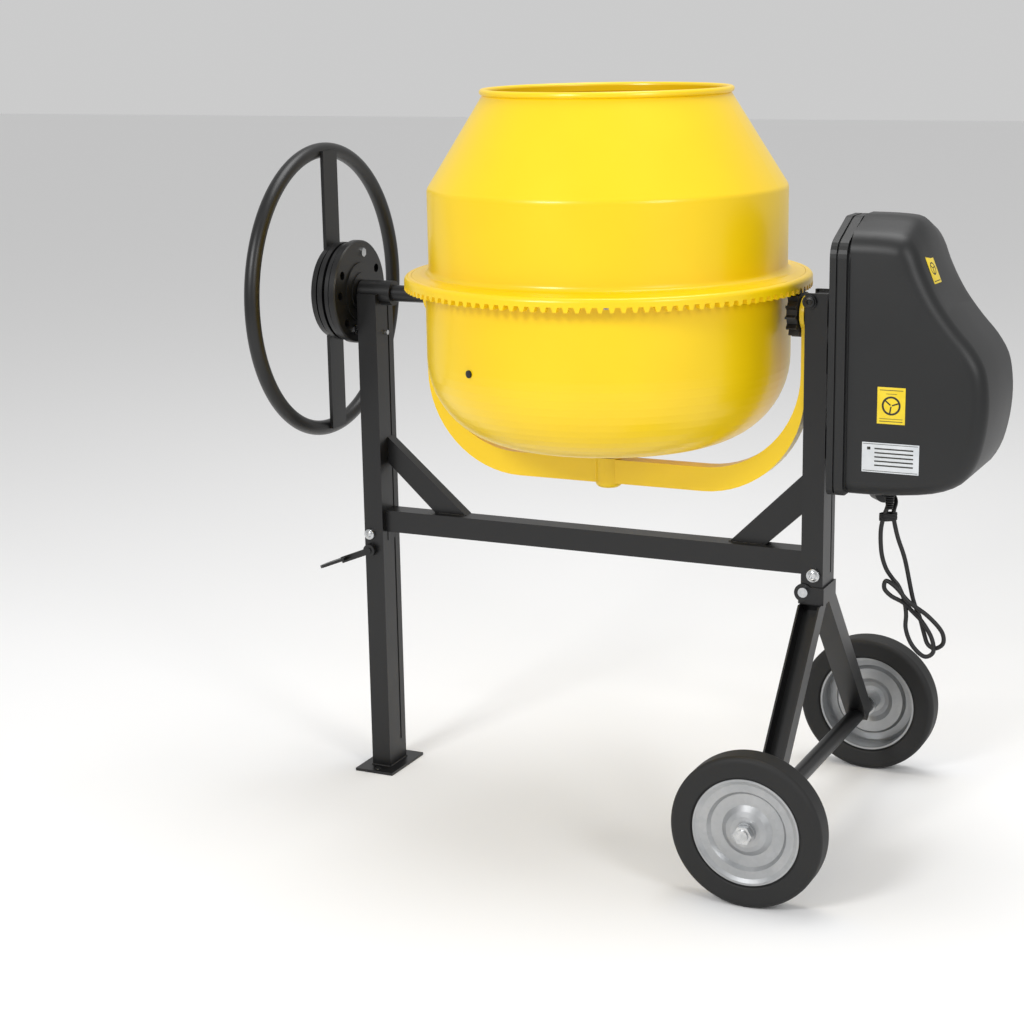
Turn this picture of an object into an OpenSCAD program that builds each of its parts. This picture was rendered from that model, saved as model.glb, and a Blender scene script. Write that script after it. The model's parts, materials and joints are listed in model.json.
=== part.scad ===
// Tilting-drum concrete mixer, millimetres, +Z up, standing on z = 0.
// X runs along the tilt axis: hand wheel at -X, motor housing at +X.

/* [Overall] */
// Height of the tilt axis above the floor
axis_h = 854; // [780:1:950]
// Running clearance on a radius between a shaft and its bush
fit = 0.05; // [0.02:0.01:0.10]

/* [Drum] */
// Outer radius of the lower drum
drum_r = 296; // [245:1:355]
// Drum sheet thickness
sheet = 3; // [2:0.5:4]
// Outer radius of the mouth without its bead
mouth_r = 198; // [160:1:235]
// Radius of the rolled bead on the mouth
bead_r = 5; // [4:0.5:6]
// How far the upper drum steps in from the lower drum
upper_step = 6; // [4:1:12]
// Height of the upper drum's straight wall above the pitch plane
wall_h = 163; // [135:1:190]
// Height of the cone
cone_h = 148; // [125:1:175]
// Depth of the lower drum below the pitch plane
lower_h = 260; // [240:1:280]
// Corner radius of the drum bottom
corner_r = 140; // [110:1:150]

/* [Ring gear and pinion] */
// How far the ring gear stands out from the lower drum
ring_out = 34; // [30:1:40]
// Teeth on the ring gear
ring_teeth = 120; // [100:1:140]
// Teeth on the pinion
pinion_teeth = 13; // [12:1:15]
// Depth of the teeth
tooth_h = 8; // [6:0.5:8.5]
// Radial width of the tooth band
tooth_w = 16; // [12:1:20]

/* [Frame] */
// Width of a leg along X
leg_w = 36; // [30:1:42]
// Depth of a leg along Y
leg_d = 60; // [54:1:72]
// Wall of the leg tubes
leg_t = 3; // [2:0.5:4]
// Gap from the ring gear to the left leg
left_gap = 86; // [70:1:104]
// Gap from the ring gear to the right leg
right_gap = 13; // [12:1:18]
// Height of the crossbar's top face
bar_top = 475; // [430:1:500]
// Crossbar height
bar_h = 38; // [32:1:46]
// Crossbar depth along Y
bar_d = 36; // [30:1:44]
// Height of the braces on the legs
brace_h = 128; // [105:1:150]
// Foot plate size along X
foot_x = 74; // [62:1:88]
// Foot plate size along Y
foot_y = 118; // [106:1:140]
// Foot plate thickness
foot_t = 5; // [4:1:8]
// Anchor hole radius in the foot plate
anchor_r = 7; // [5:0.5:8]

/* [Wheels] */
// Tyre outer radius
tyre_r = 119.6; // [105:0.2:140]
// Tyre width
tyre_w = 46; // [38:1:54]
// Rim radius
rim_r = 84; // [78:1:92]
// Distance from the centre line to a tyre's outer face
track_half = 345; // [300:1:400]
// Axle radius
axle_r = 9; // [7:0.5:10]

/* [Yoke] */
// Height of the bow's section at the bottom
bow_h = 40; // [34:1:48]
// Width of the bow along Y
bow_w = 30; // [24:1:36]
// Thickness of the arms
arm_t = 7; // [6:0.5:8]
// Gap between the drum bottom and the bow
bow_gap = 31; // [26:1:40]
// Radius of the left tilt shaft
shaft_r = 14; // [12:0.5:16]
// Outer radius of the right tilt sleeve
sleeve_r = 20; // [18:0.5:21]
// Radius of the drive shaft
drive_r = 10; // [8:0.5:12]

/* [Hand wheel] */
// Outer radius of the hand wheel
hand_r = 252; // [210:1:302]
// Radius of the rim tube
hand_tube = 12.7; // [10:0.1:15]
// Width of the strap spoke
strap_w = 46; // [38:1:55]

/* [Housing] */
// Half width of the back plate along Y
house_w = 108; // [100:1:125]
// Bottom of the housing below the tilt axis
house_drop = 264; // [256:1:270]
// Distance from the right leg to the back plate
house_off = 26; // [22:1:34]
// Radius of the big pulley
pulley_r = 85; // [75:1:90]
// Radius of the motor pulley
small_r = 16; // [15:0.5:20]
// Drop from the tilt axis to the motor axis
motor_drop = 186; // [180:1:190]
// Radius of the motor body
motor_r = 50; // [42:1:52]

/* [Hidden] */

black = "#1c1c1e";
yellow = "#f2cf1a";
steel = "#b9bcbe";

// drum and gear heights
ring_r = drum_r + ring_out;
pitch_r = ring_r - tooth_w / 2;
pinion_r = pitch_r * pinion_teeth / ring_teeth;
pitch_z = axis_h + pinion_r;
tip_z = pitch_z - tooth_h * 0.45;
web_z = tip_z + tooth_h + 2;
flange_z = web_z + 7;
upper_r = drum_r - upper_step;
shoulder_z = pitch_z + wall_h;
mouth_z = shoulder_z + cone_h;
bottom_z = pitch_z - lower_h;
blade_angles = [-113.5, 66.5];
blade_z = bottom_z + 146;

// frame
leg_lx = -(ring_r + left_gap + leg_w);
leg_rx = ring_r + right_gap;
left_c = leg_lx + leg_w / 2;
right_c = leg_rx + leg_w / 2;
leg_top = axis_h + 35;
bar_z = bar_top - bar_h;
tongue_hw = 12;
tongue_z0 = bar_z - 17;
tongue_z1 = bar_z + 23;
bolt_r = 5;
left_bolt = [leg_lx + 11, bar_z - 4];
right_bolt = [leg_rx + 21, bar_z + 3];
sock_z = bar_z - 41;
sock_t = 3;
block_bolt = [leg_rx + 8, axis_h + sleeve_r + 2];
clamp_end = sleeve_r * 0.65;

// yoke
arm_x = ring_r + 3;
arm_out = arm_x + arm_t;
left_arm = ring_r - 11;
left_out = left_arm + arm_t;
bow_z = bottom_z - bow_gap;
bow_in = 160;
bow_out = 170;
boss_r = 22.5;
boss_in = 19;
boss_z0 = bow_z - bow_h;
spindle_r = 12;

// hand wheel and lock
hub_x = leg_lx - 10;
wheel_x = hub_x - 67;
strap_in = 11;
hub_w = 50;
strap_r = hand_r - hand_tube;
lock_drop = 68;
pin_z = axis_h - lock_drop;
pin_r = 6.3;
lock_hole_r = 7.5;
lock_angles = [0, 45, 90, 120, -45, -90, -120];
pedal_x = leg_lx + 12;
pedal_z = bar_z - 32;
pedal_lever = 14;
rod_x = pedal_x + pedal_lever;
rod_y = 19;
rod_r = 4;

// wheels
axle_z = tyre_r;
tyre_in = track_half - tyre_w;
tube_r = axle_r + 5;
strut_top_y = 16;
strut_y = tyre_in - 40;
strut_top_z = sock_z + 6;
strut_a = atan2(strut_y - strut_top_y, strut_top_z - axle_z);
strut_l = norm([strut_y - strut_top_y, strut_top_z - axle_z]);

// housing and drive
house_x = leg_rx + leg_w + house_off;
cover_x = house_x + 29;
cover_w = house_w - 8;
house_z0 = axis_h - house_drop;
plate_t = 4;
pulley_x = house_x + 41;
pulley_w = 18;
groove_h = 7;
motor_z = axis_h - motor_drop;
motor_x = pulley_x + pulley_w + 14;
motor_l = 118;
motor_shaft_r = 6;
shaft_end = pulley_x + pulley_w + 6;
button_r = 12;
switch_x = cover_x + 70;
switch_z = motor_z + 60;

// cord
cord_r = 3.5;
gland_x = cover_x + 42;

// cover profile in X-Z, measured from its open edge and the housing bottom
control = [[-60, 1], [0, 1], [60, 2], [130, 10], [172, 28], [194, 58], [205, 95], [210, 135], [209,
  172], [202, 206],
  [184, 236], [161, 262], [139, 290], [122, 316], [107, 344], [96, 370], [80, 389], [50, 394], [0,
    395], [-60, 395]];
function spline(a, b, c, d, t) =
  0.5 * (2 * b + (c - a) * t + (2 * a - 5 * b + 4 * c - d) * t * t + (3 * b - a - 3 * c + d) * t * t * t);
function profile(n) = concat([for (i = [1:len(control) - 3], k = [0:n - 1])
  spline(control[i - 1], control[i], control[i + 1], control[i + 2], k / n)], [control[len(control) - 2]]);
outer = profile(3);
last = len(outer) - 1;

x_left = wheel_x - hand_tube;
x_right = cover_x + max([for (p = outer) p[0]]);
shift = -(x_left + x_right) / 2;

module put() { translate([shift, 0, 0]) children(); }
module along_x(x, y, z) { translate([x, y, z]) rotate([0, 90, 0]) children(); }
module along_y(x, y, z) { translate([x, y, z]) rotate([-90, 0, 0]) children(); }
module box(x0, x1, y0, y1, z0, z1) { translate([x0, y0, z0]) cube([x1 - x0, y1 - y0, z1 - z0]); }
// turned about the tilt axis
module tilted(a) { translate([0, 0, axis_h]) rotate([a, 0, 0]) translate([0, 0, -axis_h]) children(); }
function arc(cx, cy, r, a0, a1, n) =
  [for (i = [0:n]) let (a = a0 + (a1 - a0) * i / n) [cx + r * cos(a), cy + r * sin(a)]];
module ring(outer, inner, h) difference() {
  cylinder(r = outer, h = h, $fn = 64);
  translate([0, 0, -1]) cylinder(r = inner, h = h + 2, $fn = 64);
}

// frame: open-topped tube with a pressed groove along its +X side
module leg_tube(x0, z0, z1) difference() {
  box(x0, x0 + leg_w, -leg_d / 2, leg_d / 2, z0, z1);
  box(x0 + leg_t, x0 + leg_w - leg_t, leg_t - leg_d / 2, leg_d / 2 - leg_t, z0 - 1, z1 + 1);
  box(x0 + leg_w - 1.2, x0 + leg_w + 1, leg_d * 0.16, leg_d * 0.24, z0 + 40, z1 + 1);
}
module tongue_window(x0, x1) box(x0, x1, -tongue_hw - 0.3, tongue_hw + 0.3, tongue_z0 - 0.3,
  tongue_z1 + 0.3);
module hole_y(at, r) along_y(at[0], -leg_d, at[1]) cylinder(r = r, h = 2 * leg_d, $fn = 32);
module left_leg() put() color(black) difference() {
  leg_tube(leg_lx, foot_t, axis_h);
  along_x(leg_lx - 1, 0, axis_h) cylinder(r = shaft_r + 7, h = leg_w + 2, $fn = 64);
  tongue_window(leg_lx + leg_w - leg_t - 1, leg_lx + leg_w + 1);
  along_x(leg_lx - 1, 0, pin_z) cylinder(r = pin_r + fit, h = leg_t + 2, $fn = 32);
  along_x(leg_lx + leg_w - leg_t - 1, 0, pin_z) cylinder(r = 4 + fit, h = leg_t + 2, $fn = 32);
  hole_y(left_bolt, bolt_r);
  hole_y([pedal_x, pedal_z], bolt_r + fit);
}
module foot_plate() put() color(black) difference() {
  box(left_c - foot_x / 2, left_c + foot_x / 2, -foot_y / 2, foot_y / 2, 0, foot_t);
  for (s = [-1, 1]) translate([left_c, s * (leg_d + foot_y) / 4, -1]) cylinder(r = anchor_r,
    h = foot_t + 2, $fn = 48);
}
module right_leg() put() color(black) difference() {
  leg_tube(leg_rx, sock_z, leg_top);
  along_x(leg_rx - 1, 0, axis_h) cylinder(r = sleeve_r + 2, h = leg_w + 2, $fn = 64);
  box(leg_rx - 1, leg_rx + leg_w + 1, -sleeve_r - 2, sleeve_r + 2, axis_h, leg_top + 1);
  tongue_window(leg_rx - 1, leg_rx + leg_t + 1);
  hole_y(right_bolt, bolt_r);
  along_y(block_bolt[0], -leg_d, block_bolt[1]) cylinder(r = bolt_r, h = leg_d, $fn = 32);
}
module crossbar() put() color(black) difference() {
  union() {
    box(leg_lx + leg_w, leg_rx, -bar_d / 2, bar_d / 2, bar_z, bar_top);
    box(leg_lx + leg_t + 1, leg_lx + leg_w + 1, -tongue_hw, tongue_hw, tongue_z0, tongue_z1);
    box(leg_rx - 1, leg_rx + leg_w - leg_t - 1, -tongue_hw, tongue_hw, tongue_z0, tongue_z1);
  }
  box(leg_lx + leg_w + 34, leg_rx - 34, leg_t - bar_d / 2, bar_d / 2 - leg_t, bar_z - 1, bar_top - leg_t);
  hole_y(left_bolt, bolt_r);
  hole_y(right_bolt, bolt_r);
}
// brace: a channel, open at the back; s is the way it runs from the leg
module brace(x0, s, top, run, low, heel) {
  wall = 5;
  translate([x0, 20, bar_top]) rotate([90, 0, 0]) difference() {
    linear_extrude(22) polygon([[0, top], [s * run, 0], [s * low, 0], [0, heel]]);
    translate([0, 0, -1]) linear_extrude(20)
      polygon([[-s, top - 2 * wall], [s * (run - 3 * wall), -1], [s * (low + wall), -1], [-s,
        heel + wall]]);
  }
}
module left_brace() put() color(black) brace(leg_lx + leg_w, 1, brace_h, brace_h * 1.16, brace_h * 0.7,
  brace_h * 0.64);
module right_brace() put() color(black) brace(leg_rx, -1, brace_h, brace_h * 1.02, brace_h * 0.54,
  brace_h * 0.5);

// wheel frame: socket round the right leg's foot, two struts, cross tube, axle
module strut_frame(s) translate([0, s * strut_top_y, strut_top_z]) rotate([s * strut_a, 0, 0]) children();
module leg_socket() put() color(black) difference() {
  union() {
    box(leg_rx - sock_t, leg_rx + leg_w + sock_t, -leg_d / 2 - sock_t, leg_d / 2 + sock_t, sock_z - 4,
      sock_z + 24);
    for (s = [-1, 1]) along_y(leg_rx + 5, s > 0 ? leg_d / 2 : -leg_d / 2 - sock_t, sock_z + 14)
      cylinder(r = 15, h = sock_t, $fn = 48);
  }
  box(leg_rx, leg_rx + leg_w, -leg_d / 2, leg_d / 2, sock_z, sock_z + 40);
}
module strut(s) put() color(black) difference() {
  strut_frame(s) difference() {
    box(leg_rx, leg_rx + leg_w, -15, 15, -strut_l, 12);
    box(leg_rx + leg_t, leg_rx + leg_w - leg_t, s > 0 ? -12 : -16, s > 0 ? 16 : 12, -strut_l - 1, -20);
  }
  box(leg_rx - 1, leg_rx + leg_w + 1, s > 0 ? -100 : -0.2, s > 0 ? 0.2 : 100, 0, axis_h);
  box(leg_rx - 4, leg_rx + leg_w + 4, -leg_d, leg_d, sock_z - 4, axis_h);
  along_y(right_c, -track_half, axle_z) cylinder(r = tube_r, h = 2 * track_half, $fn = 48);
}
module front_strut() strut(-1);
module rear_strut() strut(1);
module axle_tube() put() color(black) along_y(right_c, -tyre_in + 6, axle_z) ring(tube_r, axle_r + fit,
  2 * tyre_in - 12);
module axle() put() color(steel) along_y(right_c, -track_half - 12, axle_z) cylinder(r = axle_r,
  h = 2 * track_half + 24, $fn = 48);
module axle_nuts() put() color(steel) for (s = [-1, 1]) {
  along_y(right_c, s > 0 ? track_half - 1 : -track_half - 9, axle_z) difference() {
    cylinder(r = axle_r + 6, h = 10, $fn = 6);
    translate([0, 0, -1]) cylinder(r = axle_r, h = 12, $fn = 48);
  }
  along_y(right_c, s > 0 ? tyre_in - 5.5 : -tyre_in + 0.5, axle_z) ring(axle_r + 9, axle_r, 5);
}
// wheels: drawn about their own axle with the outer face at z = 0
module wheel_at(s) translate([right_c, s * track_half, axle_z]) rotate([-90 * -s, 0, 0]) children();
module tyre_body() rotate_extrude($fn = 120) polygon(concat(
  [[rim_r, 6]], arc(rim_r + 6, 6, 4, 180, 270, 4), arc(tyre_r - 9, 9, 9, -90, 0, 8),
  arc(tyre_r - 9, tyre_w - 9, 9, 0, 90, 8), arc(rim_r + 6, tyre_w - 6, 4, 90, 180, 4), [[rim_r,
    tyre_w - 6]]));
rim_face = [[axle_r + 6, 6], [24, 6], [32, 9], [40, 15], [58, 15], [63, 9], [rim_r - 9, 8], [rim_r - 3, 5]];
rim_sheet = 3;
module rim_body() difference() {
  union() {
    rotate_extrude($fn = 120) polygon(concat(rim_face,
      [for (i = [len(rim_face) - 1:-1:0]) rim_face[i] + [0, rim_sheet]]));
    rotate_extrude($fn = 120) polygon([[rim_r - 3.2, 4.5], [rim_r, 4.5], [rim_r, tyre_w - 5],
      [rim_r - 3.2, tyre_w - 5]]);
    translate([0, 0, 2]) cylinder(r = axle_r + 7, h = tyre_w - 3, $fn = 64);
  }
  translate([0, 0, -1]) cylinder(r = axle_r + fit, h = tyre_w + 2, $fn = 64);
}
module front_tyre() put() color("#222222") wheel_at(-1) tyre_body();
module rear_tyre() put() color("#222222") wheel_at(1) tyre_body();
module front_rim() put() color(steel) wheel_at(-1) rim_body();
module rear_rim() put() color(steel) wheel_at(1) rim_body();

// bolts through the legs and on the socket
module cross_bolt(at, head) {
  along_y(at[0], -leg_d / 2 - 4, at[1]) cylinder(r = head, h = 4, $fn = 32);
  along_y(at[0], -leg_d / 2, at[1]) cylinder(r = bolt_r, h = leg_d + 10, $fn = 32);
  along_y(at[0], leg_d / 2, at[1]) difference() {
    cylinder(r = 9, h = 8, $fn = 6);
    translate([0, 0, -1]) cylinder(r = bolt_r, h = 10, $fn = 32);
  }
}
module frame_bolts() put() color(steel) {
  cross_bolt(left_bolt, 9);
  cross_bolt(right_bolt, 10.5);
  for (s = [-1, 1]) along_y(leg_rx + 6, s > 0 ? leg_d / 2 + sock_t : -leg_d / 2 - sock_t - 6, sock_z + 16)
    cylinder(r = 8, h = 6, $fn = 32);
}
module left_bearing() put() color(black) along_x(hub_x + 6, 0, axis_h) ring(shaft_r + 7, shaft_r + fit, 61);
module right_bearing() put() color(black) difference() {
  union() {
    along_x(leg_rx + leg_t, 0, axis_h) cylinder(r = sleeve_r + 5, h = leg_w - 2 * leg_t, $fn = 64);
    box(leg_rx + leg_t, leg_rx + leg_w - leg_t, leg_t - leg_d / 2, leg_d / 2 - leg_t, axis_h - 14,
      axis_h + 30);
  }
  along_x(leg_rx - 1, 0, axis_h) cylinder(r = sleeve_r + fit, h = leg_w + 2, $fn = 64);
  along_y(block_bolt[0], -leg_d, block_bolt[1]) cylinder(r = bolt_r, h = leg_d - clamp_end, $fn = 32);
}
module bearing_bolt() put() color(black) {
  along_y(block_bolt[0], -leg_d / 2 - 5, block_bolt[1]) cylinder(r = 11, h = 5, $fn = 32);
  along_y(block_bolt[0], -leg_d / 2, block_bolt[1]) cylinder(r = bolt_r,
    h = leg_d / 2 - clamp_end - 0.5, $fn = 32);
}

// yoke: a bow under the drum that rises to two flat arms on the tilt axis
function bow(left, right, z, r) = concat([[-left, axis_h]], arc(r - left, z + r, r, 180, 270, 16),
  arc(right - r, z + r, r, 270, 360, 16), [[right, axis_h]]);
module yoke() put() color(yellow) difference() {
  union() {
    translate([0, bow_w / 2, 0]) rotate([90, 0, 0]) linear_extrude(bow_w) polygon(bow(left_out,
      arm_out, boss_z0, bow_out));
    for (x = [-left_out, arm_x]) along_x(x, 0, axis_h) cylinder(r = 27, h = arm_t, $fn = 64);
  }
  translate([0, bow_w, 0]) rotate([90, 0, 0]) linear_extrude(2 * bow_w) polygon(concat(
    [[-left_arm, axis_h + 40]], bow(left_arm, arm_x, bow_z, bow_in), [[arm_x, axis_h + 40]]));
  along_x(arm_x - 1, 0, axis_h) cylinder(r = sleeve_r - 5, h = arm_t + 2, $fn = 64);
  translate([0, 0, boss_z0 - 20]) cylinder(r = boss_r, h = bow_h + 40, $fn = 64);
}
module left_shaft() put() color(black) along_x(wheel_x + 8, 0, axis_h)
  cylinder(r = shaft_r, h = -left_out - wheel_x - 8, $fn = 64);
sleeve_l = house_x - 5 - arm_out;
module right_sleeve() put() color(black) along_x(arm_out, 0, axis_h) ring(sleeve_r, drive_r + 4, sleeve_l);
module shaft_bushes() put() color("#b08d57") for (x = [arm_out, arm_out + sleeve_l - 14])
  along_x(x, 0, axis_h) ring(drive_r + 4, drive_r + fit, 14);
module spindle_boss() put() color(yellow) translate([0, 0, boss_z0]) ring(boss_r, boss_in, bow_h + 2);
module spindle_bearings() put() color(steel) for (z = [boss_z0 + 1, bow_z - 11])
  translate([0, 0, z]) ring(boss_in, spindle_r + fit, 12);
module boss_cap() put() color(yellow) translate([0, 0, boss_z0]) rotate_extrude($fn = 64)
  polygon(concat([[0, -7], [boss_in - 6, -7], [boss_in - 3, 0]], arc(boss_r - 9, 0, 9, 0, -90, 8), [[0,
    -9]]));
module spindle() put() color("#6b4a2c") union() {
  translate([0, 0, bottom_z - 6]) cylinder(r = 45, h = 6, $fn = 64);
  translate([0, 0, bow_z + 3]) cylinder(r = 17, h = bottom_z - 6 - bow_z - 3, $fn = 64);
  translate([0, 0, boss_z0 - 4]) cylinder(r = spindle_r, h = bow_z + 3 - boss_z0 + 4, $fn = 64);
}

// drum
blade_hole = 4;
module blade_holes() for (a = blade_angles) rotate(a) along_x(upper_r - 60, 0, blade_z)
  cylinder(r = blade_hole, h = 90, $fn = 24);
module lower_drum() put() color(yellow) difference() {
  rotate_extrude($fn = 180) polygon(concat(
    [[0, bottom_z], [drum_r - corner_r - 30, bottom_z]],
    arc(drum_r - corner_r, bottom_z + corner_r + 4, corner_r, 270, 360, 16),
    [[drum_r, web_z - 3], [drum_r + 12, web_z - 3], [drum_r + 12, web_z], [drum_r - sheet, web_z]],
    arc(drum_r - corner_r, bottom_z + corner_r + 4, corner_r - sheet, 360, 270, 16),
    [[drum_r - corner_r - 30, bottom_z + sheet], [0, bottom_z + sheet]]));
  blade_holes();
}
rim_lip = upper_r + 28;
module upper_drum() put() color(yellow) rotate_extrude($fn = 180) polygon(concat(
  [[upper_r - sheet, flange_z], [rim_lip, flange_z], [rim_lip, flange_z + 5], [upper_r + 14, flange_z + 8]],
  arc(upper_r + 10, flange_z + 18, 10, 260, 180, 6), arc(upper_r - 14, shoulder_z - 12, 14, 0, 32, 5),
  [[mouth_r, mouth_z - 2 * bead_r]], arc(mouth_r, mouth_z - bead_r, bead_r, -80, 180, 10),
  [[mouth_r - sheet - 1, mouth_z - 2 * bead_r - 4]], arc(upper_r - 14, shoulder_z - 12, 14 - sheet, 32,
    0, 5)));
module drum_seal() put() color("#303030") translate([0, 0, web_z])
  rotate_extrude($fn = 180) polygon([[drum_r - 2, 0], [drum_r + 3, 0], [drum_r + 3, 7], [drum_r - 2, 7]]);

// ring gear: flat web, rounded shoulder and a skirt with the teeth in its lower edge
pitch_l = 2 * PI * pitch_r / ring_teeth;
module tooth_space() translate([ring_r - tooth_w - 6, 0, tip_z]) rotate([90, 0,
  90]) linear_extrude(tooth_w + 10)
  polygon([[-pitch_l * 0.4, -2], [pitch_l * 0.4, -2], [pitch_l * 0.22, tooth_h], [-pitch_l * 0.22,
    tooth_h]]);
module ring_gear() put() color(yellow) difference() {
  rotate_extrude($fn = 180) polygon(concat(
    [[drum_r + 3, web_z], [ring_r - tooth_w, web_z], [ring_r - tooth_w, tip_z], [ring_r, tip_z]],
    arc(ring_r - 8, flange_z - 3, 8, 0, 80, 7), [[rim_lip + 0.5, flange_z + 5], [rim_lip + 0.5,
      flange_z], [drum_r + 3, flange_z]]));
  for (i = [0:ring_teeth - 1]) rotate((i + 0.5) * 360 / ring_teeth) tooth_space();
}
module drum_bolts() put() color(steel) for (i = [0:7]) rotate(i * 45 + 22.5)
  translate([drum_r + 6.5, 0, web_z - 8]) cylinder(r = 4.5, h = 5, $fn = 6);
// mixing blades: bent paddles bolted to the wall
wall_r = drum_r - sheet;
module mixing_blades() put() color("#c2771c") for (a = blade_angles) rotate(a) difference() {
  intersection() {
    union() {
      box(wall_r - 90, wall_r + 4, -3, 3, blade_z - 20, blade_z + 100);
      box(wall_r - 5, wall_r + 4, -24, 24, blade_z - 24, blade_z + 24);
    }
    rotate_extrude($fn = 180) polygon(concat([[0, mouth_z], [0, bottom_z + sheet]],
      arc(drum_r - corner_r, bottom_z + corner_r + 4, corner_r - sheet, 270, 360, 16), [[wall_r,
        mouth_z]]));
  }
  along_x(wall_r - 60, 0, blade_z) cylinder(r = 9, h = 55, $fn = 32);
  along_x(wall_r - 8, 0, blade_z) cylinder(r = blade_hole, h = 20, $fn = 24);
}
module blade_bolts() put() color(steel) for (a = blade_angles) rotate(a) {
  along_x(wall_r - 14, 0, blade_z) cylinder(r = blade_hole, h = sheet + 15, $fn = 24);
  along_x(drum_r + 0.2, 0, blade_z) cylinder(r = 6, h = 2.5, $fn = 24);
  along_x(wall_r - 13, 0, blade_z) cylinder(r = 7, h = 8, $fn = 6);
}

// drive
function gear_points(n, root, tip, root_a, tip_a) =
  [for (i = [0:n - 1], k = [[root, -root_a], [tip, -tip_a], [tip, tip_a], [root, root_a]])
    let (a = 360 / n * i + k[1]) [k[0] * cos(a), k[0] * sin(a)]];
module pinion() put() color("#3a3a3c") along_x(ring_r - tooth_w - 1, 0, axis_h) difference() {
  rotate(180 + 180 / pinion_teeth) linear_extrude(tooth_w + 1) polygon(gear_points(pinion_teeth,
    pinion_r - tooth_h * 0.56, pinion_r + tooth_h * 0.4, 76 / pinion_teeth, 32 / pinion_teeth));
  translate([0, 0, -1]) cylinder(r = drive_r, h = tooth_w + 3, $fn = 64);
}
module drive_shaft() put() color(steel) along_x(ring_r - tooth_w - 5, 0, axis_h)
  cylinder(r = drive_r, h = shaft_end - ring_r + tooth_w + 5, $fn = 64);
module grooved(r, bore) rotate_extrude($fn = 96) polygon([[bore, 0], [r, 0], [r, 2.5], [r - groove_h, 5],
  [r - groove_h, pulley_w - 5], [r, pulley_w - 2.5], [r, pulley_w], [bore, pulley_w]]);
module big_pulley() put() color("#3a3a3c") along_x(pulley_x, 0, axis_h) difference() {
  grooved(pulley_r, drive_r);
  for (a = [0:60:300]) rotate(a) translate([pulley_r * 0.56, 0, -1]) cylinder(r = pulley_r * 0.18,
    h = pulley_w + 2, $fn = 48);
}
module motor_pulley() put() color("#3a3a3c") along_x(pulley_x, 0, motor_z) grooved(small_r, motor_shaft_r);
module belt_line(o) {
  big = pulley_r - groove_h + o;
  small = small_r - groove_h + o;
  lean = asin((big - small) / motor_drop);
  polygon(concat(arc(-axis_h, 0, big, 90 - lean, 270 + lean, 40), arc(-motor_z, 0, small, lean - 90,
    90 - lean, 24)));
}
belt_w = pulley_w - 10.8;
module drive_belt() put() color("#161616") along_x(pulley_x + 5.4, 0,
  0) linear_extrude(belt_w) difference() {
  belt_line(5.4);
  belt_line(0.4);
}
shelf_z = house_z0 + 20;
module motor_shelf() put() color("#4a4d50") union() {
  box(house_x + plate_t, house_x + plate_t + 4, -60, 60, shelf_z, motor_z - small_r - 10);
  box(house_x + plate_t, motor_x + motor_l - 12, -46, 46, shelf_z, shelf_z + 4);
  for (x = [motor_x + 8, motor_x + motor_l - 30]) box(x, x + 20, -30, 30, shelf_z + 4,
    motor_z - motor_r + 12);
}
module motor_body() put() color("#5b6066") difference() {
  union() {
    along_x(motor_x, 0, motor_z) cylinder(r = motor_r, h = motor_l, $fn = 96);
    for (i = [0:17]) along_x(motor_x + 12, 0, motor_z) rotate(i * 20 + 10)
      box(motor_r - 1, motor_r + 3, -1.2, 1.2, 0, motor_l - 30);
  }
  for (x = [motor_x + 8, motor_x + motor_l - 30])
    box(x, x + 20, -60, 60, motor_z - motor_r - 10, motor_z - motor_r + 12);
  along_x(motor_x - 1, 0, motor_z) cylinder(r = motor_shaft_r + fit, h = motor_l - 10, $fn = 48);
}
module motor_shaft() put() color(steel) along_x(pulley_x - 3, 0, motor_z)
  cylinder(r = motor_shaft_r, h = motor_x + motor_l - 14 - pulley_x + 3, $fn = 48);
strap_z = (motor_r + 3) * sin(60) + 1.1;
strap_y = sqrt(pow(motor_r, 2) - pow(strap_z, 2)) + 0.1;
module capacitor() put() color("#d8d8d4") union() {
  along_x(motor_x + 10, 66, motor_z + 44) cylinder(r = 15, h = 70, $fn = 48);
  box(motor_x + 20, motor_x + 34, strap_y, 56, motor_z + strap_z, motor_z + strap_z + 4);
}
module housing_brackets() put() color(black) for (z = [house_z0 + 60, axis_h - 70]) union() {
  box(leg_rx + leg_w, leg_rx + leg_w + 4, -26, 26, z - 20, z + 20);
  box(house_x - 4, house_x, -26, 26, z - 20, z + 20);
  for (y = [-26, 22]) box(leg_rx + leg_w, house_x, y, y + 4, z - 20, z + 20);
}

// housing outline in Y-Z: straight sides, sloped shoulders, flat peak
shoulder_h = 392;
gable = 27;
function outline(d) = concat(
  arc(-house_w + d + 14, house_z0 + d + 14, 14, 180, 270, 5), arc(house_w - d - 14, house_z0 + d + 14,
    14, 270, 360, 5),
  arc(house_w - d - 30, house_z0 + shoulder_h - d - 28, 30, 0, 72, 6), arc(20,
    house_z0 + shoulder_h + gable - d - 30, 30, 72, 90, 3),
  arc(-20, house_z0 + shoulder_h + gable - d - 30, 30, 90, 108, 3), arc(-house_w + d + 30,
    house_z0 + shoulder_h - d - 28, 30, 108, 180, 6));
module slab(x0, x1, d) translate([x0, 0, 0]) rotate([90, 0,
  90]) linear_extrude(x1 - x0) polygon(outline(d));
module back_plate() put() color(black) difference() {
  union() {
    slab(house_x, house_x + 10, 0);
    slab(house_x + 10, house_x + 13, 3);
    slab(house_x + 13, house_x + 26, 0);
    slab(house_x + 26, cover_x, 6);
  }
  slab(house_x + plate_t, cover_x + 1, 9);
  along_x(house_x - 5, 0, axis_h) cylinder(r = drive_r + 6, h = 20, $fn = 64);
}
function unit(v) = v / max(norm(v), 0.0001);
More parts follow.
